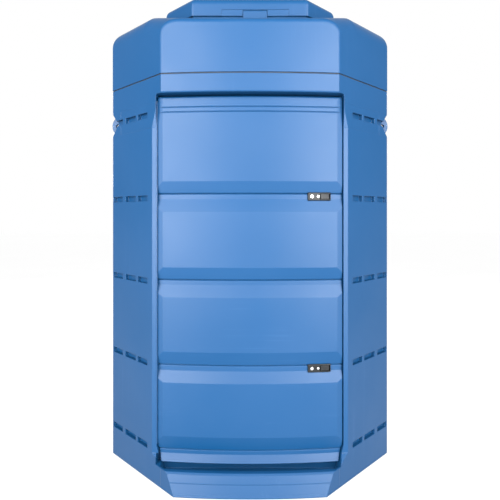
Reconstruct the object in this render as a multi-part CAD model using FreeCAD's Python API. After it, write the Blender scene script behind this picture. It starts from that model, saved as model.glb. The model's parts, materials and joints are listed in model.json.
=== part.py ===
import FreeCAD, Part
import math
import os
from FreeCAD import Vector

# Storage and dispensing tank: an octagonal double-walled plastic tank with a front cabinet.
# Millimetres, +Z up, front towards -Y, origin on the ground at the centre of the footprint.
# A depth "t" is measured forwards from the front shoulder, where the 45 degree facets start.

# --- overall shape -------------------------------------------------------------------------
HALF_WIDTH = 775.0
REAR_Y = 820.0
SHOULDER_Y = -393.0
REAR_CHAMFER = 285.0
FRONT_REACH = 440.0
BOW_RADIUS = 3775.0
BOW_HALF_ANGLE = 22.0
WALL = 10.0
ROOT2 = math.sqrt(2.0)

# --- front profile: depth at the centre line, and height --------------------------------------
DOOR_T = 314.0
BAND_T = 360.0
FOOT_T = 427.0
SILL_TOP_Z = 98.0
RAMP_TOP_Z = 146.0
FLARE_BOTTOM_Z = 1785.0
BAND_BOTTOM_Z = 1946.0
SEAM_Z = 2036.0
SEAM_GAP = 6.0
FOOT_LINE_Z = 54.0
FOOT_LINE_DEPTH = 2.0
FOOT_SETBACK = 34.0

# --- roof, hatch -----------------------------------------------------------------------------
ROOF_Z = 2380.0
ROOF_BREAK_T = 175.0
ROOF_EDGE_Z = 2302.0
ROOF_ROUND = 98.0
ROOF_FRONT_ROUND = 30.0
HATCH_HALF_WIDTH = 478.0
HATCH_HALF_DEPTH = 534.0
HATCH_CHAMFER = 168.0
COLLAR_TOP_Z = 2428.0
LID_BOTTOM_Z = 2407.0
LID_TOP_Z = 2508.0
LID_ROUND = 40.0

# --- cabinet ---------------------------------------------------------------------------------
RECESS_HALF = 470.5
RECESS_BOTTOM_Z = 50.0
REBATE_T = 247.0
SILL_BACK_T = 364.0
RECESS_CORNER = (35.3, 136.0)
CORNER_ROUND = 18.0
CABINET_HALF = 440.0
CABINET_BOTTOM_Z = 112.0
CABINET_TOP_Z = 1900.0
CABINET_BACK_T = -60.0
KEEPER_T = 217.5
COUPLING_Z = 640.0
PUMP_Z = 1010.0
FILL_PIPE = (-330.0, -400.0, 30.0, 26.0)
SUCTION_PIPE = (-60.0, -400.0, 14.0, 11.0)
PIPE_CLEARANCE = 1.0
SWING_R = 60.0

# --- ribbed grooves --------------------------------------------------------------------------
GROOVE_TOPS = (183.0, 604.0, 1022.0, 1443.0, 1867.0)
GROOVE_HEIGHT = 29.0
GROOVE_DEPTH = 20.0
GROOVE_WEB = 14.0
GROOVE_SPANS = ((8.0, 78.0), (98.0, 172.0), (186.0, 251.0))
SIDE_MARGIN = 30.0
SIDE_POCKETS = 5

# --- door ------------------------------------------------------------------------------------
DOOR_HALF = 466.0
DOOR_CORNER = (22.0, 85.0)
DOOR_BOTTOM_Z = 102.0
DOOR_TOP_Z = 1937.0
DOOR_BACK_T = 253.0
DOOR_SKIN = 5.0
PILLOW_DEPTH = 21.0
SIDE_BEVEL = 28.0
SIDE_BEVEL_DEPTH = 7.5
PANEL_GROOVES = ((1512.0, 1450.0, 1423.0, 1358.0), (1080.0, 1016.0, 990.0, 931.0),
                 (657.0, 587.0, 558.0, 503.0), (235.0, 163.0, 140.0, 101.0))
TRIM_LINES = (1859.0, 1883.0)
HINGE_X = -468.25
HINGE_T = 285.0
HINGE_SPAN = (192.0, 1914.0)
HINGE_SEGMENTS = 25
DOOR_KNUCKLE_R = 2.1
HINGE_PIN_R = 1.1
RUNNING_GAP = 0.05
LOCK_HEIGHTS = (1436.0, 572.0)
LOCK_X = 350.0


def y_at(t):
    """Y of a depth measured forwards from the shoulder."""
    return SHOULDER_Y - t


BOW_AXIS = Vector(0, y_at(DOOR_T) + BOW_RADIUS, 0)


def bow_t(x):
    """Depth of the bowed front at a distance from the centre line, for the door's level."""
    return DOOR_T - BOW_RADIUS + math.sqrt(BOW_RADIUS ** 2 - x ** 2)


def polygon_face(points):
    return Part.Face(Part.makePolygon(points + points[:1]))


def prism(points, z_low, z_high):
    face = polygon_face([Vector(x, y, z_low) for x, y in points])
    return face.extrude(Vector(0, 0, z_high - z_low))


def box(x_low, x_high, y_low, y_high, z_low, z_high):
    corner = Vector(x_low, y_low, z_low)
    return Part.makeBox(x_high - x_low, y_high - y_low, z_high - z_low, corner)


def rod(radius, length, start, direction):
    return Part.makeCylinder(radius, length, Vector(*start), Vector(*direction))


def tube(outer, inner, length, start, direction):
    return rod(outer, length, start, direction).cut(rod(inner, length, start, direction))


def fuse(shapes):
    result = shapes[0]
    for shape in shapes[1:]:
        result = result.fuse(shape)
    return result.removeSplitter()


def mirrored(shape):
    return shape.mirror(Vector(0, 0, 0), Vector(1, 0, 0))


def edges_where(shape, test):
    return [edge for edge in shape.Edges if test(edge.BoundBox)]


def upright(box_of_edge):
    return box_of_edge.XLength < 1 and box_of_edge.YLength < 1


def plan(inset, front_y, rear_y=REAR_Y):
    """Octagon of the tank in plan, moved inwards by inset; its facets stay at 45 degrees."""
    shift = inset * (ROOT2 - 1)
    half = HALF_WIDTH - inset
    shoulder = SHOULDER_Y + shift
    rear_shoulder = rear_y - REAR_CHAMFER - shift + (REAR_Y - rear_y)
    front_half = half - (shoulder - front_y)
    rear_half = half - (rear_y - rear_shoulder)
    return [(-front_half, front_y), (front_half, front_y), (half, shoulder), (half, rear_shoulder),
            (rear_half, rear_y), (-rear_half, rear_y), (-half, rear_shoulder), (-half, shoulder)]


def octagon(half_x, half_y, chamfer):
    x_in, y_in = half_x - chamfer, half_y - chamfer
    return [(-x_in, -half_y), (x_in, -half_y), (half_x, -y_in), (half_x, y_in),
            (x_in, half_y), (-x_in, half_y), (-half_x, y_in), (-half_x, -y_in)]


def bowed(profile):
    """Solid with a front face that is the (t, z) profile turned about the far bow axis."""
    back = REAR_Y + 80
    points = [(back, profile[0][1])] + [(y_at(t), z) for t, z in profile] + [(back, profile[-1][1])]
    face = polygon_face([Vector(0, y, z) for y, z in points])
    face.rotate(BOW_AXIS, Vector(0, 0, 1), -BOW_HALF_ANGLE)
    return face.revolve(BOW_AXIS, Vector(0, 0, 1), 2 * BOW_HALF_ANGLE)


def casing_profile():
    """Front outline of the casing: foot with its mould line, sill, door level, flare and band."""
    foot_top = SILL_TOP_Z - 9
    line_t = FOOT_T - FOOT_SETBACK * FOOT_LINE_Z / foot_top
    half_step = FOOT_SETBACK * FOOT_LINE_DEPTH / foot_top
    return [(FOOT_T, 0.0), (line_t + half_step, FOOT_LINE_Z - FOOT_LINE_DEPTH),
            (line_t - FOOT_LINE_DEPTH, FOOT_LINE_Z), (line_t - half_step, FOOT_LINE_Z + FOOT_LINE_DEPTH),
            (FOOT_T - FOOT_SETBACK, foot_top), (FOOT_T - FOOT_SETBACK - 9, SILL_TOP_Z),
            (SILL_BACK_T, SILL_TOP_Z), (DOOR_T, RAMP_TOP_Z), (DOOR_T, FLARE_BOTTOM_Z),
            (BAND_T - 11, BAND_BOTTOM_Z - 2), (BAND_T - 4, BAND_BOTTOM_Z), (BAND_T, BAND_BOTTOM_Z + 6),
            (BAND_T, SEAM_Z)]


# --- outer casing ----------------------------------------------------------------------------
def pocket(facet_angle, pivot, start, end, top_z):
    """A groove pocket; it runs from start to end along a wall that leaves pivot at facet_angle."""
    cut = box(start, end, -GROOVE_DEPTH, GROOVE_DEPTH, top_z - GROOVE_HEIGHT, top_z)
    cut.rotate(Vector(0, 0, 0), Vector(0, 0, 1), facet_angle)
    cut.translate(Vector(pivot[0], pivot[1], 0))
    return cut


def groove_pockets():
    """Rows of short pockets with webs between them, on the facets and the sides."""
    pockets = []
    rear_corner = REAR_Y - REAR_CHAMFER
    side_length = rear_corner - SHOULDER_Y
    step = (side_length - 2 * SIDE_MARGIN + GROOVE_WEB) / SIDE_POCKETS
    for top in GROOVE_TOPS:
        for first, last in GROOVE_SPANS:
            start, end = first * ROOT2, last * ROOT2
            pockets.append(pocket(-135, (HALF_WIDTH, SHOULDER_Y), start, end, top))
            pockets.append(pocket(135, (HALF_WIDTH, rear_corner), start, end, top))
        for index in range(SIDE_POCKETS):
            start = SIDE_MARGIN + index * step
            pockets.append(pocket(90, (HALF_WIDTH, SHOULDER_Y), start, start + step - GROOVE_WEB, top))
    return pockets + [mirrored(cut) for cut in pockets]


EYE_Z = 1845.0
EYE_RADIUS = 62.0
EYE_CENTRE_X = 719.0
EYE_HOLE_X = 748.0
EYE_HOLE_R = 11.0
EYE_THICK = 20.0
EYE_ROOT = 64.0
NOTCH_DEPTH = 40.0
NOTCH_HALF = 62.0
NOTCH_RUN = (-70.0, 120.0)


def eye_notch(shoulder_y, towards):
    """V shaped notch across a corner; towards is +1 where the side runs to +Y."""
    tip = HALF_WIDTH - NOTCH_DEPTH
    lip = HALF_WIDTH + 20
    flare = NOTCH_HALF * (lip - tip) / NOTCH_DEPTH
    points = [Vector(tip, 0, EYE_Z - 8), Vector(lip, 0, EYE_Z - flare),
              Vector(lip, 0, EYE_Z + flare), Vector(tip, 0, EYE_Z + 8)]
    cut = polygon_face(points).extrude(Vector(0, NOTCH_RUN[1] - NOTCH_RUN[0], 0))
    low = shoulder_y + (NOTCH_RUN[0] if towards > 0 else -NOTCH_RUN[1])
    cut.translate(Vector(0, low, 0))
    return cut


def eye_plate(shoulder_y, towards):
    """Lifting eye: a half disc across the notch with a shackle hole."""
    low = shoulder_y + (12 if towards > 0 else -12 - EYE_THICK)
    disc = rod(EYE_RADIUS, EYE_THICK, (EYE_CENTRE_X, low, EYE_Z), (0, 1, 0))
    disc = disc.makeFillet(3, disc.Edges)
    disc = disc.common(box(HALF_WIDTH - EYE_ROOT, HALF_WIDTH + EYE_RADIUS, low, low + EYE_THICK,
                           EYE_Z - EYE_RADIUS, EYE_Z + EYE_RADIUS))
    return disc.cut(rod(EYE_HOLE_R, EYE_THICK + 2, (EYE_HOLE_X, low - 1, EYE_Z), (0, 1, 0)))


def corners():
    return ((SHOULDER_Y, 1), (REAR_Y - REAR_CHAMFER, -1))


def door_outline(half, bottom_z, top_z, corner_x, corner_z):
    """X-Z outline of the door or its recess, with cut lower corners and small cut upper ones."""
    return [(-half + corner_x, bottom_z), (half - corner_x, bottom_z), (half, bottom_z + corner_z),
            (half, top_z - 14), (half - 5, top_z), (-half + 5, top_z), (-half, top_z - 14),
            (-half, bottom_z + corner_z)]


def front_block(outline, t_back, t_front):
    """Prism of an X-Z outline between two depths."""
    face = polygon_face([Vector(x, y_at(t_front), z) for x, z in outline])
    return face.extrude(Vector(0, t_front - t_back, 0))


def casing_cavity():
    """Space inside the casing: it steps inwards behind each groove row and each lifting eye."""
    front_y = y_at(FRONT_REACH)
    cavity = prism(plan(WALL, front_y, REAR_Y - WALL), WALL, SEAM_Z + 50)
    body = bowed([(REBATE_T - WALL, WALL), (REBATE_T - WALL, SEAM_Z + 50)])
    foot = bowed([(FOOT_T - 34, WALL), (FOOT_T - 56, RECESS_BOTTOM_Z - WALL)])
    band = bowed([(BAND_T - WALL, BAND_BOTTOM_Z + WALL), (BAND_T - WALL, SEAM_Z + 50)])
    cavity = cavity.common(body.fuse(foot).fuse(band))
    rib_inset = GROOVE_DEPTH + WALL
    for top in GROOVE_TOPS:
        low, high = top - GROOVE_HEIGHT - WALL, top + WALL
        ring = prism(plan(0, front_y), low, high)
        ring = ring.cut(prism(plan(rib_inset, front_y - 50, REAR_Y - rib_inset), low, high))
        cavity = cavity.cut(ring)
    for shoulder, towards in corners():
        low = shoulder - (90 if towards > 0 else 140)
        high = shoulder + (140 if towards > 0 else 90)
        block = box(HALF_WIDTH - EYE_ROOT, HALF_WIDTH, low, high, EYE_Z - 90, EYE_Z + 90)
        cavity = cavity.cut(block).cut(mirrored(block))
    return cavity


def cabinet_space(grow):
    return box(-CABINET_HALF - grow, CABINET_HALF + grow, y_at(REBATE_T), y_at(CABINET_BACK_T) + grow,
               CABINET_BOTTOM_Z - grow, CABINET_TOP_Z + grow)


def door_recess():
    """The space the door closes; the sill stands in front of its foot."""
    outline = door_outline(RECESS_HALF, RECESS_BOTTOM_Z, BAND_BOTTOM_Z, *RECESS_CORNER)
    block = front_block(outline, REBATE_T, FOOT_T + 60)
    low = bowed([(SILL_BACK_T - 2, RECESS_BOTTOM_Z - 5), (SILL_BACK_T - 2, SILL_TOP_Z)])
    low = low.common(prism(plan(WALL, y_at(FRONT_REACH)), 0, SILL_TOP_Z))
    high = bowed([(FOOT_T, SILL_TOP_Z), (FOOT_T, BAND_BOTTOM_Z)])
    return block.common(low.fuse(high))


def swing_relief():
    """Clearance beside the sill for the door's cut corner as the door turns about its hinge."""
    sweep = rod(SWING_R, RAMP_TOP_Z - SILL_TOP_Z, (HINGE_X, y_at(HINGE_T), SILL_TOP_Z), (0, 0, 1))
    return sweep.common(box(-RECESS_HALF, 0, y_at(FOOT_T), y_at(REBATE_T), 0, RAMP_TOP_Z))


def cabinet_box():
    """Box behind the door that holds the equipment, with holes in its roof for the two pipes."""
    shape = cabinet_space(WALL).cut(cabinet_space(0))
    for x, y, outer, _ in (FILL_PIPE, SUCTION_PIPE):
        hole = rod(outer + PIPE_CLEARANCE, 4 * WALL, (x, y, CABINET_TOP_Z - WALL), (0, 0, 1))
        shape = shape.cut(hole)
    return shape


def outer_casing():
    """Outer skin with floor and door recess; open at the top for the roof cap."""
    skin = prism(plan(0, y_at(FRONT_REACH)), 0, SEAM_Z)
    skin = skin.makeFillet(CORNER_ROUND, edges_where(skin, upright))
    skin = skin.common(bowed(casing_profile()))
    shell = skin.cut(casing_cavity()).cut(cabinet_space(WALL)).cut(door_recess()).cut(swing_relief())
    shell = shell.cut(Part.makeCompound(groove_pockets()))
    notches = [eye_notch(shoulder, towards) for shoulder, towards in corners()]
    shell = shell.cut(Part.makeCompound(notches + [mirrored(cut) for cut in notches]))
    shell = shell.cut(lifting_eyes())
    return Part.makeCompound([shell.common(cell) for cell in panel_cells()])


def lifting_eyes():
    """The four eye plates that are moulded into the notches."""
    plates = [eye_plate(shoulder, towards) for shoulder, towards in corners()]
    return Part.makeCompound(plates + [mirrored(plate) for plate in plates])


def eye_cells():
    """Cells above and below each eye's middle, as long as its notch."""
    cells = []
    for shoulder, towards in corners():
        front, rear = sorted((shoulder + towards * NOTCH_RUN[0], shoulder + towards * NOTCH_RUN[1]))
        for low, high in ((EYE_Z - NOTCH_HALF, EYE_Z), (EYE_Z, EYE_Z + NOTCH_HALF)):
            cells.append(box(HALF_WIDTH - EYE_ROOT, HALF_WIDTH + EYE_RADIUS, front, rear, low, high))
    return cells


def side_cells(low, high, reach, inset):
    """Side wall, rear corner and front corner of one level; inset leaves room for the eye cells."""
    rear_shoulder = REAR_Y - REAR_CHAMFER
    return [box(0, HALF_WIDTH, SHOULDER_Y + inset, rear_shoulder - inset, low, high),
            box(HALF_WIDTH - REAR_CHAMFER, reach, rear_shoulder, REAR_Y, low, high),
            box(CABINET_HALF, reach, y_at(FRONT_REACH), SHOULDER_Y, low, high)]


def panel_cells():
    """Cells that part the moulding at its corners into a floor and plain touching wall panels."""
    front, rear_shoulder = y_at(FRONT_REACH), REAR_Y - REAR_CHAMFER
    rear_flat = HALF_WIDTH - REAR_CHAMFER
    cells = [box(-HALF_WIDTH, HALF_WIDTH, front, REAR_Y, 0, WALL),
             box(-rear_flat, rear_flat, rear_shoulder, REAR_Y, WALL, SEAM_Z)]
    for low, high in ((WALL, COUPLING_Z), (COUPLING_Z, SEAM_Z)):
        cells.append(box(-CABINET_HALF, CABINET_HALF, front, SHOULDER_Y, low, high))
    low, high = EYE_Z - NOTCH_HALF, EYE_Z + NOTCH_HALF
    right = eye_cells() + side_cells(low, high, HALF_WIDTH - EYE_ROOT, NOTCH_RUN[1])
    right += side_cells(WALL, low, HALF_WIDTH, 0) + side_cells(high, SEAM_Z, HALF_WIDTH, 0)
    return cells + right + [mirrored(cell) for cell in right]


# --- roof cap and hatch ------------------------------------------------------------------------
CAP_LIP = 6.0
CAP_LIP_DROP = 26.0
HATCH_OPENING = 74.0
COLLAR_RIM = 14.0
LID_WALL = 6.0
LID_CORNER_ROUND = 20.0
LID_NOTCH = (-152.0, 208.0, 2441.0)
LID_NOTCH_DEPTH = 2.5
TAB_GAP = 1.0
RIM_TAB = (-38.0, 92.0, 2436.0)
LID_HINGE_Y = 550.0
LID_HINGE_Z = 2420.0
LID_HINGE_R = 6.0
LID_KNUCKLE_X = (-260.0, 180.0)
KNUCKLE_LENGTH = 36.0
LID_KNUCKLE_R = 11.0
LID_RIB_INSET = 22.0
LID_RIB = 6.0
LID_SEAL = 4.0


def cap_solid(inset, bottom_z):
    """Roof cap outline: flat octagon that falls to the front edge, with large rounded shoulders."""
    top = ROOF_Z - inset
    solid = prism(plan(inset, y_at(FRONT_REACH) + inset, REAR_Y - inset), bottom_z, top)
    solid = solid.common(bowed([(BAND_T - inset, bottom_z), (BAND_T - inset, top)]))
    fall = (ROOF_Z - ROOF_EDGE_Z) / (BAND_T - ROOF_BREAK_T)
    reach = BAND_T + 140
    slope = [(y_at(ROOF_BREAK_T), top), (y_at(ROOF_BREAK_T), top + 200), (y_at(reach), top + 200),
             (y_at(reach), top - fall * (reach - ROOF_BREAK_T))]
    face = polygon_face([Vector(-HALF_WIDTH - 50, y, z) for y, z in slope])
    solid = solid.cut(face.extrude(Vector(2 * HALF_WIDTH + 100, 0, 0)))
    above = ROOF_EDGE_Z - inset - 30
    shoulders = edges_where(solid, lambda b: b.ZMin > above and (b.YMax > 0 or b.XLength < 400))
    solid = solid.makeFillet(ROOF_ROUND - inset, shoulders)
    front_y = y_at(BAND_T) + 60
    brow = edges_where(solid, lambda b: b.YMax < front_y and b.XLength > 400 and b.ZMin > 2200)
    return solid.makeFillet(ROOF_FRONT_ROUND - inset, brow)


def ring_block(outer, inner, z_low, z_high):
    return prism(outer, z_low, z_high).cut(prism(inner, z_low - 1, z_high + 1))


def hatch_octagon(inset):
    shrink = inset * (2 - ROOT2)
    return octagon(HATCH_HALF_WIDTH - inset, HATCH_HALF_DEPTH - inset, HATCH_CHAMFER - shrink)


def roof_cap():
    """Roof shell with a lip that drops inside the casing and an octagonal hatch opening."""
    bottom = SEAM_Z + SEAM_GAP
    shell = cap_solid(0, bottom).cut(cap_solid(WALL, bottom - 1))
    gap = WALL + 2
    reach = y_at(FRONT_REACH)
    lip = prism(plan(gap - 3, reach + gap, REAR_Y - gap + 3), bottom - CAP_LIP_DROP, bottom + 20)
    lip = lip.common(bowed([(BAND_T - gap, bottom - CAP_LIP_DROP), (BAND_T - gap, bottom),
                            (BAND_T - gap + 3, bottom), (BAND_T - gap + 3, bottom + 20)]))
    inside = gap + CAP_LIP
    core = prism(plan(inside, reach + inside, REAR_Y - inside), bottom - 50, bottom + 40)
    core = core.common(bowed([(BAND_T - inside, bottom - 50), (BAND_T - inside, bottom + 40)]))
    lip = lip.cut(core)
    outside = ring_block(plan(-50, reach - 50, REAR_Y + 50), plan(gap, reach, REAR_Y - gap),
                         bottom - 40, bottom)
    shell = shell.fuse(lip.cut(outside))
    return shell.cut(prism(hatch_octagon(HATCH_OPENING), ROOF_Z - 60, ROOF_Z + 1))


def cap_seal():
    """Rubber strip in the joint between casing and cap, set back to leave a shadow line."""
    reach = y_at(FRONT_REACH)
    top = SEAM_Z + SEAM_GAP
    outer = prism(plan(5, reach, REAR_Y - 5), SEAM_Z, top)
    outer = outer.common(bowed([(BAND_T - 5, SEAM_Z), (BAND_T - 5, top)]))
    inner = prism(plan(WALL, reach, REAR_Y - WALL), SEAM_Z - 1, top + 1)
    return outer.cut(inner.common(bowed([(BAND_T - WALL, SEAM_Z - 1), (BAND_T - WALL, top + 1)])))


def hatch_collar():
    """Raised rim around the hatch opening, with a raised tab and the fixed hinge knuckles."""
    rim = ring_block(hatch_octagon(COLLAR_RIM), hatch_octagon(HATCH_OPENING + 8), ROOF_Z, COLLAR_TOP_Z)
    neck = ring_block(hatch_octagon(HATCH_OPENING), hatch_octagon(HATCH_OPENING + 8), ROOF_Z - 24, ROOF_Z)
    tab_low, tab_high, tab_top = RIM_TAB
    front = -HATCH_HALF_DEPTH
    tab = box(tab_low, tab_high, front + 1, front + COLLAR_RIM + 6, ROOF_Z, tab_top)
    outer_edges = edges_where(tab, lambda b: b.ZMin > ROOF_Z + 1 or b.ZLength > 20 and b.YMax < front + 2)
    tab = tab.makeFillet(5, outer_edges)
    shape = fuse([rim, neck, tab])
    for x in LID_KNUCKLE_X:
        for offset in (-1, 1):
            start = x + offset * (KNUCKLE_LENGTH + 1)
            arm = box(start, start + KNUCKLE_LENGTH, HATCH_HALF_DEPTH - COLLAR_RIM - 4, LID_HINGE_Y,
                      ROOF_Z, ROOF_Z + 8)
            post = box(start, start + KNUCKLE_LENGTH, LID_HINGE_Y - 7, LID_HINGE_Y + 7, ROOF_Z, LID_HINGE_Z)
            knuckle = rod(LID_KNUCKLE_R, KNUCKLE_LENGTH, (start, LID_HINGE_Y, LID_HINGE_Z), (1, 0, 0))
            shape = shape.fuse(arm).fuse(post).fuse(knuckle)
    for x in LID_KNUCKLE_X:
        start = (x - 2 * KNUCKLE_LENGTH, LID_HINGE_Y, LID_HINGE_Z)
        shape = shape.cut(rod(LID_HINGE_R, 5 * KNUCKLE_LENGTH, start, (1, 0, 0)))
    return shape


def lid_solid(inset):
    top = LID_TOP_Z - inset
    bottom = LID_BOTTOM_Z - (1 if inset else 0)
    solid = prism(hatch_octagon(inset), bottom, top)
    if not inset:
        solid = solid.makeFillet(LID_CORNER_ROUND, edges_where(solid, upright))
    return solid.makeFillet(LID_ROUND - inset, edges_where(solid, lambda b: b.ZMin > top - 1))


def hatch_lid():
    """Domed octagonal lid with a shallow front notch, a seating rib and hinge knuckles behind."""
    shell = lid_solid(0).cut(lid_solid(LID_WALL))
    low, high, top = LID_NOTCH
    front = -HATCH_HALF_DEPTH
    notch = box(low, high, front - 5, front + LID_NOTCH_DEPTH, LID_BOTTOM_Z - 2, top)
    notch = notch.makeFillet(3, edges_where(notch, lambda b: b.ZMin > top - 1 and b.XLength < 1))
    slot = box(RIM_TAB[0] - TAB_GAP, RIM_TAB[1] + TAB_GAP, front - 5, front + LID_WALL + 2,
               LID_BOTTOM_Z - 2, RIM_TAB[2] + TAB_GAP)
    shell = shell.cut(notch).cut(slot)
    rib_low, rib_high = COLLAR_TOP_Z + LID_SEAL, LID_TOP_Z - LID_WALL - 2
    shell = shell.fuse(ring_block(hatch_octagon(LID_RIB_INSET), hatch_octagon(LID_RIB_INSET + LID_RIB),
                                  rib_low, rib_high))
    for x in LID_KNUCKLE_X:
        arm = box(x, x + KNUCKLE_LENGTH, HATCH_HALF_DEPTH - LID_WALL, LID_HINGE_Y,
                  LID_HINGE_Z, LID_HINGE_Z + LID_KNUCKLE_R)
        knuckle = rod(LID_KNUCKLE_R, KNUCKLE_LENGTH, (x, LID_HINGE_Y, LID_HINGE_Z), (1, 0, 0))
        start = (x - 1, LID_HINGE_Y, LID_HINGE_Z)
        bore = rod(LID_HINGE_R + RUNNING_GAP, KNUCKLE_LENGTH + 2, start, (1, 0, 0))
        shell = shell.fuse(arm.fuse(knuckle)).cut(bore)
    return shell


def hatch_seal():
    """Flat rubber ring on the collar that the rib of the lid rests on."""
    return ring_block(hatch_octagon(LID_RIB_INSET - 2), hatch_octagon(LID_RIB_INSET + LID_RIB + 2),
                      COLLAR_TOP_Z, COLLAR_TOP_Z + LID_SEAL)


def hatch_hinge_pins():
    length = 3 * KNUCKLE_LENGTH + 10
    starts = [(x - KNUCKLE_LENGTH - 5, LID_HINGE_Y, LID_HINGE_Z) for x in LID_KNUCKLE_X]
    return Part.makeCompound([rod(LID_HINGE_R, length, start, (1, 0, 0)) for start in starts])


# --- inner tank --------------------------------------------------------------------------------
TANK_INSET = 72.0
TANK_FRONT_Y = -300.0
TANK_TOP_Z = 1990.0
TANK_ROUND = 50.0
TANK_WALL = 8.0
NECK_Y = 60.0
NECK_R = 205.0
NECK_TOP_Z = 2110.0
DROP_Y = -180.0
PROBE = (220.0, -150.0, 11.0)
FITTING_FLANGE = 20.0


def tank_solid(inset):
    half = HALF_WIDTH - TANK_INSET - inset
    rear = REAR_Y - TANK_INSET - inset
    front = TANK_FRONT_Y + inset
    cut = REAR_CHAMFER - 42 - inset * (2 - ROOT2)
    front_cut = 60 - inset * (2 - ROOT2)
    points = [(-half + front_cut, front), (half - front_cut, front), (half, front + front_cut),
              (half, rear - cut), (half - cut, rear), (-half + cut, rear), (-half, rear - cut),
              (-half, front + front_cut)]
    solid = prism(points, WALL + inset, TANK_TOP_Z - inset)
    rim = edges_where(solid, lambda b: b.ZMin > TANK_TOP_Z - inset - 1)
    return solid.makeFillet(TANK_ROUND - inset, rim)


def inner_tank():
    """Liquid vessel behind the cabinet with a filling neck and holes for the pipes."""
    neck = rod(NECK_R, NECK_TOP_Z - TANK_TOP_Z + 20, (0, NECK_Y, TANK_TOP_Z - 20), (0, 0, 1))
    shape = tank_solid(0).fuse(neck).cut(tank_solid(TANK_WALL))
    bore_start = (0, NECK_Y, TANK_TOP_Z - 30)
    shape = shape.cut(rod(NECK_R - TANK_WALL, NECK_TOP_Z - TANK_TOP_Z + 40, bore_start, (0, 0, 1)))
    for x, y, radius in drop_points():
        shape = shape.cut(rod(radius, 40, (x, y, TANK_TOP_Z - 20), (0, 0, 1)))
    return shape


def drop_points():
    """Places where the pipes and the probe enter the tank roof."""
    return [(FILL_PIPE[0], DROP_Y, FILL_PIPE[2]), (SUCTION_PIPE[0], DROP_Y, SUCTION_PIPE[2]), PROBE]


def tank_fittings():
    return Part.makeCompound([tube(radius + FITTING_FLANGE, radius, 24, (x, y, TANK_TOP_Z), (0, 0, 1))
                              for x, y, radius in drop_points()])


def manhole_lid():
    """Screw lid over the tank neck, with grip ribs and a vent hole."""
    skirt = tube(NECK_R + 14, NECK_R + 1, 46, (0, NECK_Y, NECK_TOP_Z - 46), (0, 0, 1))
    disc = rod(NECK_R + 14, 12, (0, NECK_Y, NECK_TOP_Z), (0, 0, 1))
    disc = disc.makeFillet(5, edges_where(disc, lambda b: b.ZMin > NECK_TOP_Z + 11))
    shape = skirt.fuse(disc)
    rib = box(NECK_R + 12, NECK_R + 20, NECK_Y - 5, NECK_Y + 5, NECK_TOP_Z - 40, NECK_TOP_Z + 4)
    for index in range(16):
        turned = rib.copy()
        turned.rotate(Vector(0, NECK_Y, 0), Vector(0, 0, 1), index * 22.5)
        shape = shape.fuse(turned)
    return shape.cut(rod(16, 30, (0, NECK_Y, NECK_TOP_Z - 5), (0, 0, 1)))


def vent_cap():
    """Mushroom vent in the middle of the manhole lid."""
    top = NECK_TOP_Z + 12
    stem = rod(16, 40, (0, NECK_Y, NECK_TOP_Z), (0, 0, 1))
    flange = rod(26, 8, (0, NECK_Y, top), (0, 0, 1))
    hood = rod(38, 26, (0, NECK_Y, top + 22), (0, 0, 1))
    return fuse([stem, flange, hood.makeFillet(10, edges_where(hood, lambda b: b.ZMin > top + 40))])


def pipe(points, outer, inner, bend):
    """Round pipe through the points, with a circular bend at each inner one."""
    edges = []
    start = points[0]
    for before, corner, after in zip(points, points[1:], points[2:]):
        to_start = (before - corner).normalize()
        to_end = (after - corner).normalize()
        half = to_start.getAngle(to_end) / 2
        reach = bend / math.tan(half)
        first, last = corner + to_start * reach, corner + to_end * reach
        middle = (to_start + to_end).normalize()
        crown = corner + middle * (bend / math.sin(half) - bend)
        edges += [Part.makeLine(start, first), Part.Arc(first, crown, last).toShape()]
        start = last
    edges.append(Part.makeLine(start, points[-1]))
    path = Part.Wire(edges)
    direction = points[1] - points[0]
    rings = [Part.Wire(Part.makeCircle(radius, points[0], direction)) for radius in (outer, inner)]
    body, bore = [path.makePipeShell([ring], True, False) for ring in rings]
    return body.cut(bore)


PIPE_RUN_Z = 2060.0
PIPE_BEND = 45.0


def fill_pipe():
    x, y, outer, inner = FILL_PIPE
    points = [Vector(x, y, COUPLING_Z), Vector(x, y, PIPE_RUN_Z), Vector(x, DROP_Y, PIPE_RUN_Z),
              Vector(x, DROP_Y, TANK_TOP_Z - 120)]
    return pipe(points, outer, inner, PIPE_BEND)


def suction_pipe():
    x, y, outer, inner = SUCTION_PIPE
    points = [Vector(x, y, PUMP_Z + 60), Vector(x, y, PIPE_RUN_Z), Vector(x, DROP_Y, PIPE_RUN_Z),
              Vector(x, DROP_Y, 90)]
    return pipe(points, outer, inner, PIPE_BEND)


def foot_valve():
    """Strainer with a check valve at the bottom of the suction pipe."""
    x, _, outer, _ = SUCTION_PIPE
    body = rod(26, 40, (x, DROP_Y, 50), (0, 0, 1))
    basket = rod(22, 26, (x, DROP_Y, 24), (0, 0, 1))
    collar = tube(outer + 8, outer, 30, (x, DROP_Y, 90), (0, 0, 1))
    return fuse([body, basket, collar])


def level_probe():
    x, y, radius = PROBE
    stem = rod(radius, TANK_TOP_Z - 60, (x, y, 70), (0, 0, 1))
    head = rod(28, 50, (x, y, TANK_TOP_Z + 24), (0, 0, 1))
    link = rod(radius, 20, (x, y, TANK_TOP_Z + 8), (0, 0, 1))
    return fuse([stem, head.makeFillet(4, edges_where(head, lambda b: b.ZMin > TANK_TOP_Z + 70)), link])


def leak_sensor():
    """Puck on the casing floor between the two walls."""
    puck = rod(30, 28, (0, TANK_FRONT_Y - 60, WALL), (0, 0, 1))
    return puck.makeFillet(4, edges_where(puck, lambda b: b.ZMin > WALL + 20))


def roof_screws():
    """Screws down through the collar into the roof."""
    screws = []
    for x, y in ((-200, -480), (200, -480), (-200, 480), (200, 480), (-438, 0), (438, 0)):
        head = rod(8, 6, (x, y, COLLAR_TOP_Z), (0, 0, 1))
        screws.append(head.makeFillet(2, edges_where(head, lambda b: b.ZMin > COLLAR_TOP_Z + 5)))
    return Part.makeCompound(screws)


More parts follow.
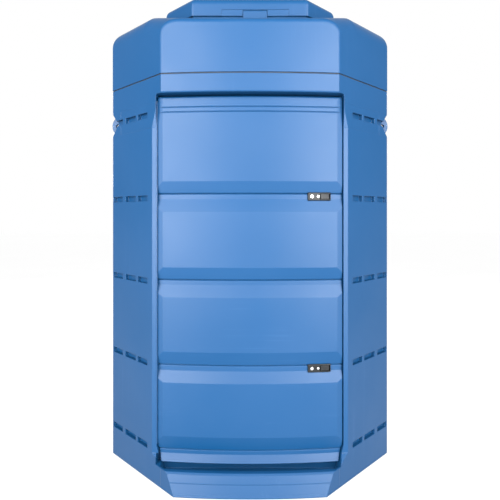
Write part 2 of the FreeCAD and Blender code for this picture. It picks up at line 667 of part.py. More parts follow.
# --- door --------------------------------------------------------------------------------------
LINER_THICK = 4.0
LINER_INSET = 14.0
EDGE_SOLID = 13.0
BATTEN_DEPTH = 14.0
LOCK_HALF_LENGTH = 58.0
LOCK_HALF_HEIGHT = 20.5
LOCK_PROUD = 9.0
LOCK_BACK = 14.0
LEAF_THICK = 0.8
LEAF_BACK_T = 257.0
SEGMENT_GAP = 0.6
PILLOW_FLOOR_T = DOOR_T - PILLOW_DEPTH
LOCK_ANGLE = math.degrees(math.asin(LOCK_X / BOW_RADIUS))


def door_profile():
    """Front outline of the door: four pillows, a creased groove under each, two trim lines on top."""
    points = [(DOOR_T - 6, DOOR_BOTTOM_Z), (DOOR_T, DOOR_BOTTOM_Z + 5)]
    for shoulder, crease, floor, foot in reversed(PANEL_GROOVES):
        if foot > DOOR_BOTTOM_Z + 6:
            points.append((DOOR_T, foot))
        points += [(PILLOW_FLOOR_T, floor), (PILLOW_FLOOR_T, crease - 4), (PILLOW_FLOOR_T - 7, crease),
                   (PILLOW_FLOOR_T + 3, crease + 4), (DOOR_T, shoulder)]
    for line in TRIM_LINES:
        points += [(DOOR_T, line - 3), (DOOR_T - 5, line), (DOOR_T, line + 3)]
    return points + [(DOOR_T, DOOR_TOP_Z - 8), (DOOR_T - 8, DOOR_TOP_Z)]


def inset_profile(profile, depth):
    return [(t - depth, z) for t, z in profile]


def door_block():
    """Solid door outline with bevelled pillow ends."""
    block = front_block(door_outline(DOOR_HALF, DOOR_BOTTOM_Z, DOOR_TOP_Z, *DOOR_CORNER), DOOR_BACK_T, FOOT_T)
    block = block.common(bowed(door_profile()))
    near_x = DOOR_HALF - SIDE_BEVEL
    wedge = polygon_face([Vector(near_x, y_at(bow_t(near_x)), DOOR_BOTTOM_Z),
                          Vector(DOOR_HALF, y_at(bow_t(DOOR_HALF) - SIDE_BEVEL_DEPTH), DOOR_BOTTOM_Z),
                          Vector(DOOR_HALF, y_at(DOOR_T), DOOR_BOTTOM_Z),
                          Vector(near_x, y_at(DOOR_T), DOOR_BOTTOM_Z)])
    bevel = wedge.extrude(Vector(0, 0, DOOR_TOP_Z - DOOR_BOTTOM_Z))
    return block.cut(bevel).cut(mirrored(bevel))


def at_lock(shape, lock_z):
    """Move a lock piece from the bow centre line, groove floor and height 0 to its place."""
    shape.translate(Vector(0, 0, lock_z))
    shape.rotate(BOW_AXIS, Vector(0, 0, 1), LOCK_ANGLE)
    return shape


def lock_box(u_low, u_high, v_low, v_high, w_low, w_high):
    """Box in lock coordinates: u to the right, v up, w outwards from the groove floor."""
    floor_y = y_at(PILLOW_FLOOR_T)
    return box(u_low, u_high, floor_y - w_high, floor_y - w_low, v_low, v_high)


def lock_rod(radius, u, v, w_low, w_high):
    start = (u, y_at(PILLOW_FLOOR_T) - w_low, v)
    return rod(radius, w_high - w_low, start, (0, -1, 0))


def lock_window(lock_z):
    window = lock_box(-LOCK_HALF_LENGTH, LOCK_HALF_LENGTH, -LOCK_HALF_HEIGHT, LOCK_HALF_HEIGHT, -80, 40)
    return at_lock(window, lock_z)


def door_shell():
    """Moulded outer door skin, open at the back, with windows for the two locks."""
    block = door_block()
    outline = door_outline(DOOR_HALF - DOOR_SKIN, DOOR_BOTTOM_Z + DOOR_SKIN, DOOR_TOP_Z - DOOR_SKIN,
                           *DOOR_CORNER)
    inner = front_block(outline, DOOR_BACK_T - 1, FOOT_T)
    inner = inner.common(bowed(inset_profile(door_profile(), DOOR_SKIN + 5)))
    edges = box(-DOOR_HALF + EDGE_SOLID, DOOR_HALF - EDGE_SOLID, y_at(FOOT_T), y_at(DOOR_BACK_T - 2),
                DOOR_BOTTOM_Z, DOOR_TOP_Z)
    shell = block.cut(inner.common(edges)).cut(liner_panel())
    for lock_z in LOCK_HEIGHTS:
        shell = shell.cut(lock_window(lock_z))
    return shell


def liner_panel():
    outline = door_outline(DOOR_HALF - LINER_INSET, DOOR_BOTTOM_Z + DOOR_SKIN + 1,
                           DOOR_TOP_Z - DOOR_SKIN - 1, *DOOR_CORNER)
    return front_block(outline, DOOR_BACK_T, DOOR_BACK_T + LINER_THICK)


def door_liner():
    """Flat inner panel that closes the back of the door."""
    panel = liner_panel()
    for lock_z in LOCK_HEIGHTS:
        hole = lock_rod(12, KEY_U, 0, -80, 0)
        panel = panel.cut(at_lock(hole, lock_z))
    return panel


def door_battens():
    """Two upright stiffeners inside the door."""
    low, high = DOOR_BOTTOM_Z + 30, DOOR_TOP_Z - 30
    back = y_at(DOOR_BACK_T + LINER_THICK)
    bars = []
    for x in (-150, 150):
        bar = box(x - 15, x + 15, back - BATTEN_DEPTH, back, low, high)
        bars.append(bar.cut(box(x - 12, x + 12, back - BATTEN_DEPTH + 3, back - 3, low - 1, high + 1)))
    return Part.makeCompound(bars)


def hinge_segments(first):
    """Every other stretch of the continuous hinge, starting with stretch number first."""
    low, high = HINGE_SPAN
    step = (high - low) / HINGE_SEGMENTS
    return [(low + index * step, step - SEGMENT_GAP) for index in range(first, HINGE_SEGMENTS, 2)]


def hinge_leaf(first, wall_x, side, bore):
    """Leaf of the continuous hinge with its knuckles; side points from the wall into the gap."""
    low, high = HINGE_SPAN
    axis_y = y_at(HINGE_T)
    leaf_x = sorted((wall_x, wall_x + side * LEAF_THICK))
    leaf = box(leaf_x[0], leaf_x[1], axis_y + DOOR_KNUCKLE_R + 0.4, y_at(LEAF_BACK_T), low, high)
    parts = [leaf]
    web_x = sorted((wall_x, HINGE_X))
    for start, length in hinge_segments(first):
        knuckle = rod(DOOR_KNUCKLE_R, length, (HINGE_X, axis_y, start), (0, 0, 1))
        web = box(leaf_x[0], leaf_x[1], axis_y, axis_y + DOOR_KNUCKLE_R + 0.4, start, start + length)
        bridge = box(web_x[0], web_x[1], axis_y - 0.6, axis_y + 0.6, start, start + length)
        knuckle = knuckle.fuse(bridge).fuse(web)
        parts.append(knuckle.cut(rod(bore, length, (HINGE_X, axis_y, start), (0, 0, 1))))
    return fuse(parts)


def hinge_leaf_frame():
    return hinge_leaf(0, -RECESS_HALF, 1, HINGE_PIN_R)


def hinge_leaf_door():
    return hinge_leaf(1, -DOOR_HALF, -1, HINGE_PIN_R + RUNNING_GAP)


def hinge_pin():
    low, high = HINGE_SPAN
    return rod(HINGE_PIN_R, high - low, (HINGE_X, y_at(HINGE_T), low), (0, 0, 1))


def door_seal():
    """Rubber frame on the rebate that the closed door meets."""
    face = REBATE_T
    outer = front_block(door_outline(CABINET_HALF + 12, CABINET_BOTTOM_Z - 6, CABINET_TOP_Z + 16, 24, 30),
                        face, face + 5)
    hole = front_block(door_outline(CABINET_HALF + 2, CABINET_BOTTOM_Z - 1, CABINET_TOP_Z + 6, 22, 28),
                       face - 1, face + 6)
    return outer.cut(hole)


# --- door locks --------------------------------------------------------------------------------
KEY_U = -38.0
BUTTON_U = -6.0
KEY_R = 8.0
BUTTON_R = 6.5
HANDLE_SPAN = (7.0, 50.0)
HANDLE_HALF = 13.0
HANDLE_PIVOT_U = 46.0
HANDLE_PIN_R = 2.0
CAM_LENGTH = 122.0
CAM_W = -60.0


def lock_body():
    """Lock housing with a handle pocket, a key bore and a button bore."""
    body = lock_box(-LOCK_HALF_LENGTH, LOCK_HALF_LENGTH, -LOCK_HALF_HEIGHT, LOCK_HALF_HEIGHT,
                    -LOCK_BACK, LOCK_PROUD)
    front_y = y_at(PILLOW_FLOOR_T) - LOCK_PROUD
    body = body.makeFillet(4, edges_where(body, lambda b: b.YMax < front_y + 1 or b.YLength > 20))
    body = body.cut(lock_box(3, 55, -HANDLE_HALF - 2, HANDLE_HALF + 2, -8, LOCK_PROUD + 5))
    body = body.cut(lock_rod(KEY_R + RUNNING_GAP, KEY_U, 0, -LOCK_BACK - 1, LOCK_PROUD + 1))
    body = body.cut(lock_rod(BUTTON_R + RUNNING_GAP, BUTTON_U, 0, -12, LOCK_PROUD + 1))
    pin = handle_pin_axis(HANDLE_PIN_R, HANDLE_HALF + 2)
    return body.fuse(pin)


def handle_pin_axis(radius, half):
    start = (HANDLE_PIVOT_U, y_at(PILLOW_FLOOR_T), -half)
    return rod(radius, 2 * half, start, (0, 0, 1))


def lock_handle():
    """Flap handle: its inner end lifts outwards about the pin at the other end."""
    low, high = HANDLE_SPAN
    flap = lock_box(low, high, -HANDLE_HALF, HANDLE_HALF, 1, LOCK_PROUD - 1)
    front_y = y_at(PILLOW_FLOOR_T) - LOCK_PROUD + 1
    flap = flap.makeFillet(2, edges_where(flap, lambda b: b.YMax < front_y + 0.5))
    boss = handle_pin_axis(4, HANDLE_HALF)
    return flap.fuse(boss).cut(handle_pin_axis(HANDLE_PIN_R + RUNNING_GAP, HANDLE_HALF + 1))


def lock_button():
    button = lock_rod(BUTTON_R, BUTTON_U, 0, -7, LOCK_PROUD + 1)
    return button.makeFillet(1, edges_where(button, lambda b: b.YMax < y_at(PILLOW_FLOOR_T) - LOCK_PROUD))


def key_plug():
    """Key cylinder: round plug with a key slot and a square tail for the cam."""
    plug = lock_rod(KEY_R, KEY_U, 0, -LOCK_BACK - 4, LOCK_PROUD + 1)
    slot = lock_box(KEY_U - 1.2, KEY_U + 1.2, -5, 5, LOCK_PROUD - 6, LOCK_PROUD + 2)
    tail = lock_box(KEY_U - 4, KEY_U + 4, -4, 4, CAM_W - 3, -LOCK_BACK - 4)
    return plug.cut(slot).fuse(tail)


def lock_cam():
    """Steel bar on the tail of the key plug; it hangs clear and swings behind the keeper."""
    bar = lock_box(KEY_U - 11, KEY_U + 11, -CAM_LENGTH, 11, CAM_W, CAM_W + 4)
    bar = bar.makeFillet(8, edges_where(bar, lambda b: b.YLength > 3 and b.XLength < 1 and b.ZLength < 1))
    return bar.cut(lock_box(KEY_U - 4, KEY_U + 4, -4, 4, CAM_W - 1, CAM_W + 5))


def lock_keepers():
    """Angle plates on the cabinet side that the cams turn behind."""
    plates = []
    for lock_z in LOCK_HEIGHTS:
        low, high = lock_z - 30, lock_z + 30
        leaf = box(CABINET_HALF - 32, CABINET_HALF - 4, y_at(KEEPER_T + 4), y_at(KEEPER_T), low, high)
        foot = box(CABINET_HALF - 4, CABINET_HALF, y_at(KEEPER_T + 4), y_at(KEEPER_T - 40), low, high)
        plates.append(leaf.fuse(foot))
    return Part.makeCompound(plates)


LOCK_PIECES = (("lock_body", lock_body), ("lock_handle", lock_handle), ("lock_button", lock_button),
               ("key_plug", key_plug), ("lock_cam", lock_cam))


# --- cabinet equipment -------------------------------------------------------------------------
BACK_Y = y_at(CABINET_BACK_T)
BOARD = (-400.0, 400.0, 520.0, 1720.0)
BOARD_THICK = 12.0
BOARD_FRONT = BACK_Y - BOARD_THICK
PUMP_X = SUCTION_PIPE[0]
PIPE_Y = SUCTION_PIPE[1]
PUMP_AXIS_Z = PUMP_Z - 12
METER = (190.0, 1180.0, 62.0)
METER_KEY_R = 6.0
LOOP_X = 60.0
VALVE_Z = 940.0
LINE_R = 11.0
GAUGE = (190.0, 1520.0, 62.0)
CONTROL = (-292.0, -84.0, 1370.0, 1650.0, 110.0)
SWITCH_Z = 1460.0
HOLDER = (300.0, 930.0)
DIAL_DEPTH = 36.0
NEEDLE_REST = 120.0
SPINDLE_R = 3.0


def mounting_board():
    low_x, high_x, low_z, high_z = BOARD
    board = box(low_x, high_x, BOARD_FRONT, BACK_Y, low_z, high_z)
    corners_of_board = edges_where(board, lambda b: b.YLength > 5 and b.XLength < 1 and b.ZLength < 1)
    return board.makeFillet(10, corners_of_board)


def board_screws():
    low_x, high_x, low_z, high_z = BOARD
    screws = []
    for x in (low_x + 40, 0, high_x - 40):
        for z in (low_z + 30, high_z - 30):
            head = rod(9, 6, (x, BOARD_FRONT, z), (0, -1, 0))
            screws.append(head.makeFillet(2, edges_where(head, lambda b: b.YMax < BOARD_FRONT - 5)))
    return Part.makeCompound(screws)


def pump_bracket():
    """Folded steel shelf that carries the pump."""
    shelf = box(PUMP_X - 90, PUMP_X + 90, PIPE_Y - 90, BOARD_FRONT, PUMP_Z - 84, PUMP_Z - 80)
    back = box(PUMP_X - 90, PUMP_X + 90, BOARD_FRONT - 4, BOARD_FRONT, PUMP_Z - 150, PUMP_Z - 84)
    gusset = polygon_face([Vector(PUMP_X - 90, BOARD_FRONT - 4, PUMP_Z - 84),
                           Vector(PUMP_X - 90, PIPE_Y - 80, PUMP_Z - 84),
                           Vector(PUMP_X - 90, BOARD_FRONT - 4, PUMP_Z - 150)])
    left = gusset.extrude(Vector(4, 0, 0))
    right = left.translated(Vector(176, 0, 0))
    return fuse([shelf, back, left, right])


def pump_body():
    """Membrane pump head: round chamber with an inlet on top and an outlet at the side."""
    chamber = rod(62, 70, (PUMP_X, PIPE_Y - 35, PUMP_AXIS_Z), (0, 1, 0))
    chamber = chamber.makeFillet(6, chamber.Edges[:1] + chamber.Edges[2:3])
    foot = box(PUMP_X - 50, PUMP_X + 50, PIPE_Y - 30, PIPE_Y + 30, PUMP_Z - 80, PUMP_Z - 50)
    inlet = rod(20, 40, (PUMP_X, PIPE_Y, PUMP_Z + 20), (0, 0, 1))
    outlet = rod(18, 30, (PUMP_X + 50, PIPE_Y, PUMP_Z - 30), (1, 0, 0))
    rim = tube(66, 60, 8, (PUMP_X, PIPE_Y - 4, PUMP_AXIS_Z), (0, 1, 0))
    return fuse([chamber, foot, inlet, outlet, rim])


def pump_motor():
    """Finned motor in front of the pump head."""
    start_y = PIPE_Y - 35
    barrel = rod(50, 110, (PUMP_X, start_y, PUMP_AXIS_Z), (0, -1, 0))
    barrel = barrel.makeFillet(5, edges_where(barrel, lambda b: b.YMax < start_y - 100))
    terminal = box(PUMP_X - 28, PUMP_X + 28, start_y - 90, start_y - 20, PUMP_Z + 20, PUMP_Z + 52)
    shape = barrel.fuse(terminal)
    fin = box(48, 56, start_y - 96, start_y - 14, -1.5, 1.5)
    for index in range(9):
        turned = fin.copy()
        turned.rotate(Vector(0, 0, 0), Vector(0, 1, 0), 20 + index * 17.5)
        shape = shape.fuse(turned.translated(Vector(PUMP_X, 0, PUMP_AXIS_Z)))
    return shape


def pressure_line():
    """Pipe from the pump outlet to the valve and up to the meter."""
    z = PUMP_Z - 30
    x, meter_z, radius = METER
    low_z = VALVE_Z - 120
    points = [Vector(PUMP_X + 80, PIPE_Y, z), Vector(LOOP_X, PIPE_Y, z), Vector(LOOP_X, PIPE_Y, low_z),
              Vector(x, PIPE_Y, low_z), Vector(x, PIPE_Y, VALVE_Z - 32)]
    first = pipe(points, LINE_R, LINE_R - 3, 24)
    second = tube(LINE_R, LINE_R - 3, meter_z - radius - VALVE_Z - 32, (x, PIPE_Y, VALVE_Z + 32), (0, 0, 1))
    return Part.makeCompound([first, second])


def valve_body():
    """Ball valve in the upright run below the meter."""
    x = METER[0]
    barrel = rod(20, 64, (x, PIPE_Y, VALVE_Z - 32), (0, 0, 1))
    barrel = barrel.makeFillet(3, barrel.Edges[:1] + barrel.Edges[2:3])
    stem = rod(9, 34, (x, PIPE_Y, VALVE_Z), (0, -1, 0))
    return barrel.fuse(stem)


def valve_lever():
    x = METER[0]
    front = PIPE_Y - 34
    arm = box(x - 8, x + 8, front - 5, front, VALVE_Z - 12, VALVE_Z + 92)
    grip = box(x - 10, x + 10, front - 11, front - 1, VALVE_Z + 34, VALVE_Z + 96)
    grip = grip.makeFillet(4, grip.Edges)
    return fuse([arm, grip])


def flow_meter():
    """Round meter with a sloping display head and an outlet elbow."""
    x, z, radius = METER
    drum = rod(radius, 60, (x, PIPE_Y - 30, z), (0, 1, 0))
    drum = drum.makeFillet(5, drum.Edges[:1] + drum.Edges[2:3])
    bezel = tube(radius - 6, radius - 12, 6, (x, PIPE_Y - 30, z), (0, -1, 0))
    inlet = rod(18, radius, (x, PIPE_Y, z - radius), (0, 0, 1))
    outlet = rod(18, radius + 26, (x, PIPE_Y, z), (1, 0, 0))
    well = rod(METER_KEY_R + 0.1, 14, (x, PIPE_Y - 20, z - 34), (0, -1, 0))
    return fuse([drum, bezel, inlet, outlet]).cut(well)


def meter_display():
    x, z, radius = METER
    disc = rod(radius - 12, 3, (x, PIPE_Y - 30, z), (0, -1, 0))
    return disc.cut(rod(METER_KEY_R + 0.1, 8, (x, PIPE_Y - 28, z - 34), (0, -1, 0)))


def meter_button():
    x, z, _ = METER
    return rod(METER_KEY_R, 12, (x, PIPE_Y - 24, z - 34), (0, -1, 0))


def hose_outlet():
    """Threaded outlet spigot where a delivery hose screws on."""
    x, z, radius = METER
    start = x + radius + 26
    spigot = tube(16, 10, 36, (start, PIPE_Y, z), (1, 0, 0))
    return spigot.fuse(tube(21, 10, 14, (start, PIPE_Y, z), (1, 0, 0)))


def board_standoffs():
    """Saddles that hold the meter, the fill pipe and the suction pipe on the board."""
    x, z, _ = METER
    parts = [box(x - 30, x + 30, PIPE_Y + 30, BOARD_FRONT, z - 30, z + 30)]
    for pipe_x, pipe_y, outer, _ in (FILL_PIPE, SUCTION_PIPE):
        for height in (PUMP_Z + 150, 1680.0 if outer < 20 else PUMP_Z - 150):
            ring = tube(outer + 6, outer, 22, (pipe_x, pipe_y, height), (0, 0, 1))
            arm = box(pipe_x - 10, pipe_x + 10, pipe_y + outer + 3, BOARD_FRONT, height, height + 22)
            parts.append(ring.fuse(arm))
    return Part.makeCompound(parts)


def fill_coupling():
    """Cam-lock style coupling at the foot of the fill pipe, facing down."""
    x, y, outer, inner = FILL_PIPE
    sleeve = tube(outer + 9, outer, 50, (x, y, COUPLING_Z), (0, 0, 1))
    barrel = tube(outer + 4, inner, 60, (x, y, COUPLING_Z), (0, 0, -1))
    collar = tube(outer + 12, inner, 12, (x, y, COUPLING_Z - 12), (0, 0, 1))
    return fuse([sleeve, barrel, collar])


def fill_cap():
    """Dust cap on the coupling, with two ears."""
    x, y, outer, _ = FILL_PIPE
    bottom = COUPLING_Z - 70
    cup = rod(outer + 10, 44, (x, y, bottom), (0, 0, 1))
    cup = cup.makeFillet(4, edges_where(cup, lambda b: b.ZMax < bottom + 1))
    cup = cup.cut(rod(outer + 4 + 0.1, 44, (x, y, bottom + 10), (0, 0, 1)))
    ear_x = [x + side * (outer + 15) for side in (-1, 1)]
    ears = [box(middle - 7, middle + 7, y - 4, y + 4, bottom + 6, bottom + 34) for middle in ear_x]
    return fuse([cup] + ears)


def control_box():
    low_x, high_x, low_z, high_z, depth = CONTROL
    shape = box(low_x, high_x, BOARD_FRONT - depth, BOARD_FRONT, low_z, high_z)
    front = BOARD_FRONT - depth
    shape = shape.makeFillet(8, edges_where(shape, lambda b: b.YLength > 50 or b.YMax < front + 1))
    return shape.cut(rod(9, 20, ((low_x + high_x) / 2, front + 14, SWITCH_Z), (0, -1, 0)))


def main_switch():
    """Rotary isolator knob on the control box."""
    x = (CONTROL[0] + CONTROL[1]) / 2
    front = BOARD_FRONT - CONTROL[4]
    knob = rod(26, 12, (x, front - 1, SWITCH_Z), (0, -1, 0))
    grip = box(x - 6, x + 6, front - 30, front - 6, SWITCH_Z - 24, SWITCH_Z + 24)
    spindle = rod(8.95, 14, (x, front + 12, SWITCH_Z), (0, -1, 0))
    return fuse([knob, grip, spindle])


def cable_glands():
    glands = []
    depth_y = BOARD_FRONT - CONTROL[4] / 2
    for x in (CONTROL[0] + 40, CONTROL[0] + 104, CONTROL[0] + 168):
        nut = rod(14, 12, (x, depth_y, CONTROL[2]), (0, 0, -1))
        dome = rod(11, 14, (x, depth_y, CONTROL[2] - 12), (0, 0, -1))
        bore = rod(4.5, 40, (x, depth_y, CONTROL[2] + 5), (0, 0, -1))
        glands.append(nut.fuse(dome).cut(bore))
    return Part.makeCompound(glands)


def level_gauge():
    """Dial housing on the board; the dial plate sits under the needle."""
    x, z, radius = GAUGE
    case = rod(radius, 46, (x, BOARD_FRONT, z), (0, -1, 0))
    case = case.makeFillet(5, edges_where(case, lambda b: b.YMax < BOARD_FRONT - 40))
    case = case.cut(rod(radius - 8, 12, (x, BOARD_FRONT - DIAL_DEPTH, z), (0, -1, 0)))
    return case.cut(rod(SPINDLE_R + RUNNING_GAP, 12, (x, BOARD_FRONT - DIAL_DEPTH + 10, z), (0, -1, 0)))


def gauge_needle():
    x, z, radius = GAUGE
    front = BOARD_FRONT - DIAL_DEPTH - 3
    hub = rod(7, 5, (x, front, z), (0, -1, 0))
    spindle = rod(SPINDLE_R, 12, (x, front + 11, z), (0, -1, 0))
    blade = polygon_face([Vector(x - 3, front, z - 14), Vector(x + 3, front, z - 14),
                          Vector(x + 1, front, z + radius - 14), Vector(x - 1, front, z + radius - 14)])
    needle = fuse([hub, spindle, blade.extrude(Vector(0, -2, 0))])
    needle.rotate(Vector(x, 0, z), Vector(0, 1, 0), -NEEDLE_REST)
    return needle


def nozzle_holder():
    """Wall cup that a delivery nozzle hangs in."""
    x, z = HOLDER
    plate = box(x - 40, x + 40, BOARD_FRONT - 6, BOARD_FRONT, z - 90, z + 60)
    cup = tube(30, 26, 120, (x, BOARD_FRONT - 62, z - 80), (0, 0, 1))
    base = rod(30, 6, (x, BOARD_FRONT - 62, z - 86), (0, 0, 1))
    bridge = box(x - 20, x + 20, BOARD_FRONT - 35, BOARD_FRONT - 6, z - 80, z + 20)
    bridge = bridge.cut(rod(29, 130, (x, BOARD_FRONT - 62, z - 85), (0, 0, 1)))
    return fuse([plate, cup, base, bridge])


def drip_tray():
    tray = box(-300, 300, y_at(220), y_at(-10), CABINET_BOTTOM_Z, CABINET_BOTTOM_Z + 46)
    tray = tray.makeFillet(18, edges_where(tray, upright))
    hollow = box(-296, 296, y_at(216), y_at(-6), CABINET_BOTTOM_Z + 4, CABINET_BOTTOM_Z + 60)
    return tray.cut(hollow.makeFillet(15, edges_where(hollow, upright)))


SINGLE_PIECES = (outer_casing, lifting_eyes, cabinet_box, roof_cap, cap_seal, hatch_collar, hatch_seal, hatch_lid, hatch_hinge_pins,
                 roof_screws, inner_tank, tank_fittings, manhole_lid, vent_cap, fill_pipe, fill_coupling,
                 fill_cap, suction_pipe, foot_valve, level_probe, leak_sensor, door_shell, door_liner, door_battens,
                 hinge_leaf_frame, hinge_leaf_door, hinge_pin, door_seal, lock_keepers, mounting_board,
                 board_screws, board_standoffs, pump_bracket, pump_body, pump_motor, pressure_line,
                 valve_body, valve_lever, flow_meter, meter_display, meter_button, hose_outlet,
                 control_box, main_switch, cable_glands, level_gauge, gauge_needle, nozzle_holder, drip_tray)


def export(name, shape):
    shape.exportStep("parts/" + name + ".step")


os.makedirs("parts", exist_ok=True)
for make in SINGLE_PIECES:
    export(make.__name__, make())
for place, height in zip(("upper", "lower"), LOCK_HEIGHTS):
    for piece, make in LOCK_PIECES:
        export(place + "_" + piece, at_lock(make(), height))
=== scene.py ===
"""Looks of the octagonal storage tank: moulded blue plastic, black locks, cabinet equipment, studio."""
import json
import math

import bpy
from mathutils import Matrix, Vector


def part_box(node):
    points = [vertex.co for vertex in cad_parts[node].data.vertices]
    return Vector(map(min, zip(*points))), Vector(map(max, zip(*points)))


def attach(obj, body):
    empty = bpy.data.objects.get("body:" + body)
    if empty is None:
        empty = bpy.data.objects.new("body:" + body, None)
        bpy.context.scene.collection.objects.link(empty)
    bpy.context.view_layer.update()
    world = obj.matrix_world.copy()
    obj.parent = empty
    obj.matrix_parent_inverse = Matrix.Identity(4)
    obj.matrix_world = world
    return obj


# Metres, +Z up, the door faces -Y. Colours are linear RGB.
BLUE = (0.001, 0.0385, 0.113)
BLUE_SCUFFED = (0.018, 0.064, 0.158)
BLUE_GLOSS = 0.42
BLUE_SHEEN = 0.3
DULL_SHEEN = 0.2

# Most noise is spread over this middle part of its range.
NOISE_MID = (0.3, 0.7)

# Moulded blue: noise scales per metre, relief and edge rounding in metres.
CLOUD_SCALE = 1.6
CLOUD_STRENGTH = 0.18
PATCH_SCALE = 2.3
PATCH_RANGE = (0.52, 0.68)
SCUFF_RANGE = (0.56, 0.72)
SCUFF_STRENGTH = 0.55
UPRIGHT_SCUFFS = (46.0, 46.0, 0.7)
LEVEL_SCUFFS = (0.9, 30.0, 60.0)
GLOSS_SCALE = 5.0
WAVE_SCALE = 3.2
WAVE_DEPTH = 0.0022
PEEL_SCALE = 260.0
PEEL_DEPTH = 0.00010
BLUE_EDGE = 0.005
PLASTIC_EDGE = 0.0012
METAL_EDGE = 0.0008
CASTING_EDGE = 0.0015

# Metal grain stretch: drawn metal runs upright, cast metal runs no way.
DRAWN_GRAIN = (6.0, 6.0, 0.4)
EVEN_GRAIN = (1.0, 1.0, 1.0)

CAMERA_PLACE = (0.0, -2.991, 1.348)
CAMERA_LENS = 33.12
CAMERA_SHIFT_Y = -0.072

FLOOR_HALF = 30.0
FLOOR_GLOW = 0.86
FLOOR_TONES = ((0.11, 0.11, 0.11), (0.13, 0.13, 0.13))
WHITE = (1.0, 1.0, 1.0, 1.0)
SIDE_WALL = 0.45
WALL_BLEND = (0.45, 0.75)

# Lamps: name, place, width and power; the two keys share a height and a target.
KEY_LAMPS = (("key_left", (-2.3, -4.0, 2.25), 3.0, 540.0), ("key_right", (2.35, -4.0, 2.25), 2.9, 510.0))
KEY_TARGET = (0.0, -0.6, 1.8)
KEY_HEIGHT = 4.1
REAR_PLACE = (4.3, 5.5, 3.2)
REAR_TARGET = (0.0, 0.4, 1.4)
REAR_SIZE = (2.0, 3.0)
REAR_POWER = 420.0

DIAL_TICKS = 9
DIAL_SWEEP = math.radians(240)
DIAL_FACE_DEPTH = 0.010
TICK_SINK = 0.0003
TICK_REACH = 0.0505
LONG_TICK = 0.0050
SHORT_TICK = 0.0030
TICK_HALF_WIDTH = 0.0009
TICK_HALF_DEPTH = 0.0004

# Colour sockets of Blender's mix node.
MIX_FIRST = 6
MIX_SECOND = 7
MIX_RESULT = 2


# --- node helpers ------------------------------------------------------------------------------
def new_material(name):
    material = bpy.data.materials.new(name)
    material.use_nodes = True
    nodes = material.node_tree.nodes
    return material, nodes, material.node_tree.links, nodes["Principled BSDF"]


def object_space(nodes, links, stretch=(1.0, 1.0, 1.0)):
    """Object coordinates, scaled by stretch, so that a texture keeps its real size."""
    place = nodes.new("ShaderNodeTexCoord")
    mapping = nodes.new("ShaderNodeMapping")
    mapping.inputs["Scale"].default_value = stretch
    links.new(place.outputs["Object"], mapping.inputs["Vector"])
    return mapping.outputs["Vector"]


def noise(nodes, links, vector, scale, detail=3.0, roughness=0.55):
    texture = nodes.new("ShaderNodeTexNoise")
    texture.inputs["Scale"].default_value = scale
    texture.inputs["Detail"].default_value = detail
    texture.inputs["Roughness"].default_value = roughness
    links.new(vector, texture.inputs["Vector"])
    return texture.outputs["Fac"]


def ramp(nodes, links, value, low, high, low_value, high_value):
    """Maps value between low and high to low_value and high_value, clamped."""
    node = nodes.new("ShaderNodeMapRange")
    for name, number in (("From Min", low), ("From Max", high),
                         ("To Min", low_value), ("To Max", high_value)):
        node.inputs[name].default_value = number
    links.new(value, node.inputs["Value"])
    return node.outputs["Result"]


def mix_colour(nodes, links, factor, first, second):
    """Colour mix; first and second are colours or sockets."""
    node = nodes.new("ShaderNodeMix")
    node.data_type = "RGBA"
    links.new(factor, node.inputs["Factor"])
    for socket, colour in ((node.inputs[MIX_FIRST], first), (node.inputs[MIX_SECOND], second)):
        if isinstance(colour, tuple):
            socket.default_value = (*colour, 1.0)
        else:
            links.new(colour, socket)
    return node.outputs[MIX_RESULT]


def soft_edges(nodes, radius):
    node = nodes.new("ShaderNodeBevel")
    node.samples = 6
    node.inputs["Radius"].default_value = radius
    return node.outputs["Normal"]


def bump(nodes, links, height, distance, normal=None):
    node = nodes.new("ShaderNodeBump")
    node.inputs["Distance"].default_value = distance
    node.inputs["Strength"].default_value = 1.0
    links.new(height, node.inputs["Height"])
    if normal is not None:
        links.new(normal, node.inputs["Normal"])
    return node.outputs["Normal"]


# --- materials ---------------------------------------------------------------------------------
def moulded_blue(name, scuff_stretch):
    """Rotation moulded polyethylene: slow waves, fine orange peel, cloudy tone and scuffs one way."""
    material, nodes, links, shader = new_material(name)
    space = object_space(nodes, links)
    cloud = ramp(nodes, links, noise(nodes, links, space, CLOUD_SCALE), *NOISE_MID, 0.0, CLOUD_STRENGTH)
    scuff_space = object_space(nodes, links, scuff_stretch)
    streak = noise(nodes, links, scuff_space, 1.0, 4.0, 0.7)
    patch = ramp(nodes, links, noise(nodes, links, space, PATCH_SCALE, 2.0), *PATCH_RANGE, 0.0, 1.0)
    scuff = nodes.new("ShaderNodeMath")
    scuff.operation = "MULTIPLY"
    links.new(ramp(nodes, links, streak, *SCUFF_RANGE, 0.0, SCUFF_STRENGTH), scuff.inputs[0])
    links.new(patch, scuff.inputs[1])
    clouded = mix_colour(nodes, links, cloud, BLUE, BLUE_SCUFFED)
    colour = mix_colour(nodes, links, scuff.outputs[0], clouded, BLUE_SCUFFED)
    links.new(colour, shader.inputs["Base Color"])
    gloss = ramp(nodes, links, noise(nodes, links, space, GLOSS_SCALE), *NOISE_MID,
                 BLUE_GLOSS - 0.03, BLUE_GLOSS + 0.04)
    links.new(gloss, shader.inputs["Roughness"])
    shader.inputs["Specular IOR Level"].default_value = BLUE_SHEEN
    waves = bump(nodes, links, noise(nodes, links, space, WAVE_SCALE, 1.0), WAVE_DEPTH,
                 soft_edges(nodes, BLUE_EDGE))
    peel = bump(nodes, links, noise(nodes, links, space, PEEL_SCALE, 2.0), PEEL_DEPTH, waves)
    links.new(peel, shader.inputs["Normal"])
    return material


